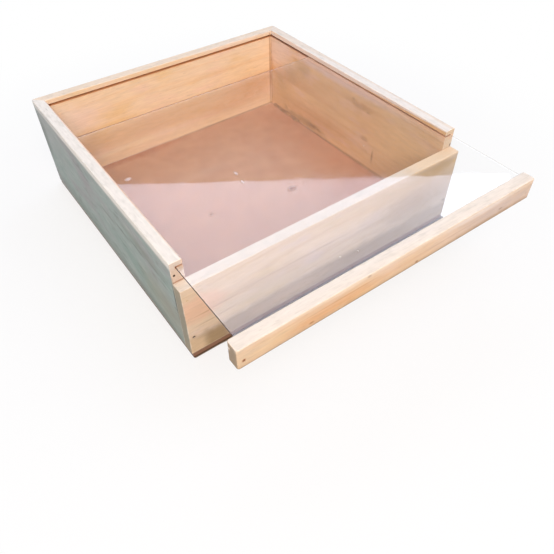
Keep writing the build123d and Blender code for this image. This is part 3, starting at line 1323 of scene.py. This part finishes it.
    def _front(self) -> PlanedPine:
        """Fits the front wall's board, with a darker band low down that is the rail's painted
        shadow.

        Returns:
            The board's finish.
        """
        return self._board(
            "front_wall",
            nails=("front_left_nails", "front_right_nails"),
            lie=Lie.LEFT_TO_RIGHT,
            seed=14.2,
            slope=0.0,
            early="#E4D0BA",
            late="#D0B396",
            heart="#DAC0A0",
            patches=("#DCC49C", "#DCC8C0"),
            sanded="#F1E7DA",
            ends="#C4AC8C",
            stains=(
                # Painted shadow: the rail's shadow, a darker band low down on the face.
                Stain((0.0, -49.0, 0.0), (900.0, 35.5, 60.0), "#9F866A", 0.85, 0.3, 0.4),
                # Painted light: the lower left corner is paler, where the rail's painted shadow
                # gives way.
                near_stain(-152.0, -34.0, 22.0, 22.0, "#E2C6A2", 0.7),
                near_stain(-128.0, -33.0, 14.0, 16.0, "#A58A5E", 0.5),
                near_stain(-141.0, 12.0, 34.0, 20.0, "#E4B496", 0.55),
                near_stain(-30.0, 6.5, 110.0, 0.9, "#A58468", 0.5, 0.8, 0.5),
                near_stain(60.0, 1.0, 90.0, 0.8, "#A98C70", 0.35, 0.8, 0.5),
                near_stain(-120.0, 4.0, 40.0, 1.0, "#A5764C", 0.5, 0.8, 0.5),
                near_stain(-124.0, -8.0, 32.0, 0.8, "#A5764C", 0.45, 0.8, 0.5),
                near_stain(120.0, 4.0, 110.0, 70.0, "#BCAA94", 0.7, 0.9),
                near_stain(128.0, 31.0, 38.0, 10.0, "#AE8A5A", 0.7, 0.9),
                near_stain(112.0, 8.0, 80.0, 38.0, "#BA9464", 0.4, 0.9),
                near_stain(-50.0, -28.0, 80.0, 14.0, "#E0C4A8", 0.35, 0.9),
                near_stain(70.0, 26.0, 130.0, 18.0, "#D6B684", 0.4, 0.9),
            ),
            late_stains=(
                Stain((125.0, 38.6, 0.0), (62.0, 3.0, 14.0), "#FFDDB2", 0.75, 0.7),
                Stain((148.5, 29.0, NEAR_FACE), (3.4, 5.0, 3.0), "#C8A65E", 0.55, 0.9),
                Stain((152.6, 16.0, NEAR_FACE), (1.4, 60.0, 5.0), "#77705C", 0.55, 0.8, 0.4),
                # Painted shade: the left end is grey, like the left wall's outer face.
                Stain((-154.0, 0.0, 0.0), (2.2, 90.0, 30.0), "#A09A88", 0.95, 0.3, 0.0),
            ),
        )


@dataclass(frozen=True)
class BottomPanel:
    """The hardboard bottom, with glue that ran out along the right wall.

    Attributes:
        glue_ends: Where that glue starts and ends, in millimetres from the back wall.
    """

    glue_ends: tuple[float, float] = (4.0, 62.0)

    def build(self) -> None:
        """Adds the glue that was smeared along the inside of the right wall."""
        _, panel_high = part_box("bottom_panel")
        wall_low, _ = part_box("right_side_wall")
        back_low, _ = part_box("back_wall")
        start, end = (
            Vector((wall_low.x, back_low.y - way * MM, panel_high.z)) for way in self.glue_ends
        )
        over, up = Vector((-1.0, 0.0, 0.0)), Vector((0.0, 0.0, 1.0))
        bead = GlueBead("floor_glue", start, end, over, up, 2.2, 3.2, lump=9.0, seed=4.0)
        piece = bead.build()
        glue = DriedGlue("wood glue rubbed with sawdust", thin="#96704C", thick="#C09468")
        piece.data.materials.append(glue.make())
        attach(piece, "case")
        log.info("%s: glue along the right wall", piece.name)

    def dress(self) -> None:
        """Gives the bottom its hardboard, with painted shade in the corner along the right wall.
        """
        _, panel_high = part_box("bottom_panel")
        wall_low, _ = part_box("right_side_wall")
        top = panel_high.z / MM
        stains = (
            # Painted shade: a dark line in the corner along the right wall.
            Stain((wall_low.x / MM, 0.0, top), (2.2, 300.0, DEEP), "#6E4630", 0.75, 0.9),
            Stain((150.0, -20.0, top), (120.0, 190.0, DEEP), "#C98A62", 0.5, 1.0),
            Stain((-60.0, 140.0, top), (90.0, 12.0, DEEP), "#B06E4E", 0.55, 0.9),
            Stain((20.0, 146.0, top), (200.0, 9.0, DEEP), "#9A7048", 0.45, 0.9),
            Stain((-20.0, 60.0, top), (60.0, 12.0, DEEP), "#CDA890", 0.4, 1.0),
        )
        Hardboard(stains=stains).dress("bottom_panel")


@dataclass(frozen=True)
class Nails:
    """Every nail in the case, and the filler over the upper ones at the front.

    Attributes:
        filler_size: Width of a dab of filler, in millimetres.
        filler_depth: How deep the filler lies in the nail's hole, in millimetres.
    """

    filler_size: float = 2.4
    filler_depth: float = 0.36

    def build(self) -> None:
        """Hides the upper nails at the front under dabs of wood filler."""
        filler = DriedGlue("wood filler", thin="#D2B48C", thick="#DFC6A4").make()
        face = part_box("front_wall")[0].y
        half = self.filler_size / 2 * MM
        for side in ("left", "right"):
            group = f"front_{side}_nails"
            low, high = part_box(group)
            across, height = (low.x + high.x) / 2, max(nail_heights(group))
            dab = GluePlug(
                name=f"nail_filler_{side}",
                low=Vector((across - half, face + 0.01 * MM, height - half)),
                high=Vector((across + half, face + self.filler_depth * MM, height + half)),
                seed=2.0 + height * 100,
            )
            piece = dab.build()
            piece.data.materials.append(filler)
            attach(piece, "case")
            log.info("%s: filler over a nail", piece.name)

    def dress(self) -> None:
        """Gives all the nails one steel."""
        steel = NailSteel().make()
        for name in sorted(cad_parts):
            if "nails" in name:
                dress(name, steel)


@dataclass(frozen=True)
class SlidingLid:
    """The clear sheet, the pine rail along its front edge and the glue that joins them.

    Attributes:
        bead_inset: How far the beads stay inside the side walls' inner faces, in millimetres.
        bead_size: How far a bead spreads and climbs, in millimetres.
        slot_play: Between a plug of glue and the sides of the rail's slot, in millimetres.
    """

    bead_inset: float = 2.0
    bead_size: float = 0.9
    slot_play: float = 0.05

    def build(self) -> None:
        """Adds the glue beads above and below the sheet and the plug in the slot's open end."""
        glue = DriedGlue().make()
        sheet_low, sheet_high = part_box("lid_sheet")
        rail_low, rail_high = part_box("lid_rail")
        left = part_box("left_side_wall")[1].x + self.bead_inset * MM
        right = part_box("right_side_wall")[0].x - self.bead_inset * MM
        pieces = []
        for name, height, way in (("upper", sheet_high.z, 1.0), ("lower", sheet_low.z, -1.0)):
            bead = GlueBead(
                name=f"{name}_lid_glue",
                start=Vector((left, rail_high.y, height)),
                end=Vector((right, rail_high.y, height)),
                over=Vector((0.0, 1.0, 0.0)),
                up=Vector((0.0, 0.0, way)),
                spread=self.bead_size,
                climb=self.bead_size,
                seed=height / MM,
            )
            pieces.append(bead.build())
        play = self.slot_play * MM
        plug = GluePlug(
            name="slot_glue",
            low=Vector((rail_low.x + 1.2 * MM, sheet_low.y + play, sheet_low.z)),
            high=Vector((sheet_low.x - play, rail_high.y - 4 * play, sheet_high.z)),
        )
        pieces.append(plug.build())
        for piece in pieces:
            piece.data.materials.append(glue)
            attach(piece, "lid")
            log.info("%s: glue of the lid", piece.name)

    def dress(self) -> None:
        """Gives the sheet its acrylic and the rail its pine."""
        sheet_low, sheet_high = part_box("lid_sheet")
        top = sheet_high.z / MM
        marks = (
            # The three pale specks are partly dust, partly painted glints; the two darker ones are
            # smudges.
            Stain((-129.0, -23.2, top), (4.5, 3.0, DEEP), "#EAE2E2", 0.5, 0.9),
            Stain((-49.1, -71.7, top), (2.0, 4.0, DEEP), "#EAE2E2", 0.45, 0.9),
            Stain((-51.1, -84.8, top), (1.8, 3.4, DEEP), "#EAE2E2", 0.4, 0.9),
            Stain((-22.5, -117.9, top), (6.0, 4.0, DEEP), "#9A8482", 0.35, 0.9),
            Stain((-95.5, -106.0, top), (3.0, 2.4, DEEP), "#9A8482", 0.3, 0.9),
        )
        ClearAcrylic(sawn_side=sheet_low.x / MM + 0.2, marks=marks).dress("lid_sheet")
        low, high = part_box("lid_rail")
        pin_hole = (-145.9, -2.8, 0.0)
        rail = PlanedPine(
            name="planed pine, lid rail",
            lie=Lie.LEFT_TO_RIGHT,
            low=low,
            high=high,
            seed=21.5,
            slope=0.0,
            early="#EBD0B2",
            late="#DDB38C",
            heart="#E5BF98",
            patches=("#ECC594", "#E9CFC0"),
            sanded="#F5F1EA",
            ends="#9C8B75",
            stains=(
                Stain((-76.0, -3.0, RAIL_FACE), (76.0, 8.0, DEEP), "#E0A66E", 0.6, 0.9),
                Stain((104.0, -1.0, RAIL_FACE), (100.0, 14.0, DEEP), "#D4C2BA", 0.8, 0.9),
                Stain((46.0, -1.0, RAIL_FACE), (44.0, 12.0, DEEP), "#E8CFBA", 0.5, 0.9),
                Stain((-124.0, -1.0, RAIL_FACE), (32.0, 12.0, DEEP), "#E8CEA6", 0.5, 0.9),
                Stain((-152.0, 0.0, RAIL_FACE), (22.0, 14.0, 12.0), "#DCC4A4", 0.6),
                Stain((13.0, -7.2, RAIL_FACE), (2.4, 1.6, 3.0), "#8C5E3A", 0.85),
                Stain((-38.0, 8.5, RAIL_FACE), (2.6, 1.6, 3.0), "#9C6C45", 0.8),
                Stain((-90.0, -5.5, RAIL_FACE), (3.0, 1.2, 3.0), "#A87040", 0.7),
                Stain((111.0, -3.0, RAIL_FACE), (3.0, 1.2, 3.0), "#9A7C66", 0.7),
                Stain((-60.0, 2.0, RAIL_FACE), (60.0, 0.8, 3.0), "#C98A52", 0.5, 0.8),
                Stain((40.0, -1.0, RAIL_FACE), (70.0, 0.8, 3.0), "#BE9472", 0.45, 0.8),
            ),
            late_stains=(
                # Painted highlight: a paler band along the top of the front face, where the
                # rounded edge catches the light.
                Stain((0.0, 9.6, RAIL_FACE), (400.0, 4.6, DEEP), "#F5E6D6", 0.5, 0.9, 0.5),
                # Painted shade: the front face darkens towards its bottom, its lower edge darkest.
                Stain((0.0, -10.4, RAIL_FACE), (400.0, 6.5, DEEP), "#B08E68", 0.45, 0.9, 0.5),
                Stain((0.0, -10.4, 0.0), (400.0, 2.1, 30.0), "#5E4A3A", 0.85, 0.6, 0.4),
                Stain((96.0, -9.0, RAIL_FACE), (70.0, 5.0, DEEP), "#A88A68", 0.45, 0.9),
                Stain((84.0, 7.0, RAIL_FACE), (70.0, 4.5, DEEP), "#F6ECE6", 0.6, 0.9),
                Stain(pin_hole, (2.3, 2.3, 30.0), "#A8602E", 0.75, 0.7, 0.4),
                Stain(pin_hole, (1.2, 1.2, 30.0), "#7A4A24", 0.7, 0.4, 0.0),
            ),
        )
        rail.dress("lid_rail")


@dataclass(frozen=True)
class Camera:
    """The camera, by where it stands, where it looks and how wide it sees."""

    place: Triple = (-0.24937, -0.41121, 0.38464)
    heading: float = 35.634  # degrees to the right of straight back
    dip: float = 46.858  # degrees below level
    roll: float = -0.564  # degrees
    lens: float = 35.375  # millimetres, on a sensor 36 mm wide

    def build(self) -> None:
        """Sets the camera up and makes it the scene's own."""
        data = bpy.data.cameras.new("camera")
        data.lens = self.lens
        data.sensor_width = 36.0
        data.clip_start = 0.01
        camera = place_in_scene("camera", data)
        turn = Matrix.Rotation(math.radians(-self.heading), 4, "Z")
        tilt = Matrix.Rotation(math.radians(90 - self.dip), 4, "X")
        lean = Matrix.Rotation(math.radians(self.roll), 4, "Z")
        camera.matrix_world = Matrix.Translation(self.place) @ turn @ tilt @ lean
        bpy.context.scene.camera = camera


def way_to(heading: float, rise: float) -> Vector:
    """Gives the direction that points at a place in the room.

    Args:
        heading: Degrees from straight back towards the right.
        rise: Degrees above level.

    Returns:
        The direction, one long.
    """
    turn, lift = math.radians(heading), math.radians(rise)
    level = math.cos(lift)
    return Vector((math.sin(turn) * level, math.cos(turn) * level, math.sin(lift)))


@dataclass(frozen=True)
class Lamp:
    """A soft rectangular lamp that looks at the case."""

    name: str
    heading: float  # degrees from straight back towards the right
    rise: float  # degrees above level
    distance: float
    width: float
    height: float
    glow: float  # how bright its face looks, where white paper in full light is 1
    colour: str
    aim: Triple = (0.0, 0.0, 0.05)
    roll: float = 0.0  # degrees that it hangs out of level

    def build(self) -> None:
        """Hangs the lamp and turns it to the case."""
        data = bpy.data.lights.new(self.name, "AREA")
        data.shape = "RECTANGLE"
        data.size = self.width
        data.size_y = self.height
        data.energy = self.glow * 4 * self.width * self.height
        data.color = linear(self.colour)[:3]
        lamp = place_in_scene(self.name, data)
        away = way_to(self.heading, self.rise)
        turn = (-away).to_track_quat("-Z", "Y").to_matrix().to_4x4()
        turn = turn @ Matrix.Rotation(math.radians(self.roll), 4, "Z")
        lamp.matrix_world = Matrix.Translation(Vector(self.aim) + away * self.distance) @ turn
        lamp.visible_camera = False


@dataclass(frozen=True)
class Studio:
    """A plain pale floor under soft lamps.

    Attributes:
        floor_side: Side of the square floor.
        air: Colour of the light from all round.
        air_level: How bright that light is.
        dark_way: Heading and rise of the dark end of the room, which the clear sheet mirrors
            where it shows what lies under it.
        dark_spread: Half the width of that dark end, in degrees.
        mirrored: How bright gloss mirrors the rest of the room.
        window_aim: What the window looks at; it sets where its mirror image ends.
    """

    floor_side: float = 6.0
    air: str = "#E6F0FA"
    air_level: float = 0.5
    dark_way: tuple[float, float] = (27.5, 31.0)
    dark_spread: float = 24.0
    mirrored: float = 0.8
    window_aim: Triple = (-0.0526, -0.0834, 0.0994)

    def build(self) -> None:
        """Lays the floor, lights the air and hangs the lamps."""
        self._lay_floor()
        self._light_air()
        Lamp("key", 205.0, 43.0, 2.0, 1.2, 1.2, 5.3, "#FFE9D6").build()
        Lamp("window", 35.6, 49.6, 2.2, 2.4, 1.0, 2.05, "#CBD9F6", self.window_aim, 1.1).build()

    def _lay_floor(self) -> None:
        """Lays the paper that the case stands on."""
        half = self.floor_side / 2
        corners = [(-half, -half, 0), (half, -half, 0), (half, half, 0), (-half, half, 0)]
        mesh = bpy.data.meshes.new("floor")
        mesh.from_pydata(corners, [], [(0, 1, 2, 3)])
        floor = place_in_scene("floor", mesh)
        mesh.materials.append(StudioPaper().make())

    def _light_air(self) -> None:
        """Makes the air white to the eye and in glass, and a soft cool fill for the case."""
        world = bpy.data.worlds.new("studio air")
        bpy.context.scene.world = world
        world.use_nodes = True
        nodes = Nodes(world.node_tree)
        way = nodes.spot.outputs["Generated"]
        rays = nodes.add("LightPath").outputs
        looks = {0: rays["Is Camera Ray"], 1: rays["Is Transmission Ray"]}
        seen = nodes.add("Math", looks, operation="MAXIMUM")
        height = nodes.add("SeparateXYZ", {0: way}).outputs[2]
        levels = [(0.0, 0.95), (0.34, 0.7), (0.40, 0.03), (0.66, 0.03), (0.72, 0.5)]
        band = nodes.add("ValToRGB", {0: height}, stops=levels)
        towards = {0: way, 1: way_to(*self.dark_way)}
        towards = nodes.add("VectorMath", towards, operation="DOT_PRODUCT").outputs["Value"]
        edge = math.cos(math.radians(self.dark_spread))
        dark = nodes.add("MapRange", {0: towards, 1: edge - 0.015, 2: edge + 0.015}, **SOFT)
        room = (self.mirrored,) * 3 + (1.0,)
        room = nodes.add("Mix", {0: dark, 6: room, 7: band}, data_type="RGBA").outputs[2]
        fill = nodes.add("Background", {0: linear(self.air), 1: self.air_level})
        gloss = nodes.add("Background", {0: room, 1: 1.0})
        white = nodes.add("Background", {0: linear("#FFFFFF"), 1: 1.0})
        mixed = nodes.add("MixShader", {0: rays["Is Glossy Ray"], 1: fill, 2: gloss})
        mixed = nodes.add("MixShader", {0: seen, 1: mixed, 2: white})
        nodes.add("OutputWorld", {"Surface": mixed})


def main() -> None:
    """Builds the camera, the studio and each part of the case in turn."""
    logging.basicConfig(level=logging.INFO, format="%(name)s: %(message)s")
    bpy.context.scene.view_settings.view_transform = "Standard"
    Camera().build()
    Studio().build()
    panel, nails, lid = BottomPanel(), Nails(), SlidingLid()
    steps: list[Callable[[], None]] = [
        CaseWalls().dress,
        panel.build,
        panel.dress,
        nails.build,
        nails.dress,
        lid.build,
        lid.dress,
    ]
    for step in steps:
        step()


if __name__ == "__main__":
    main()
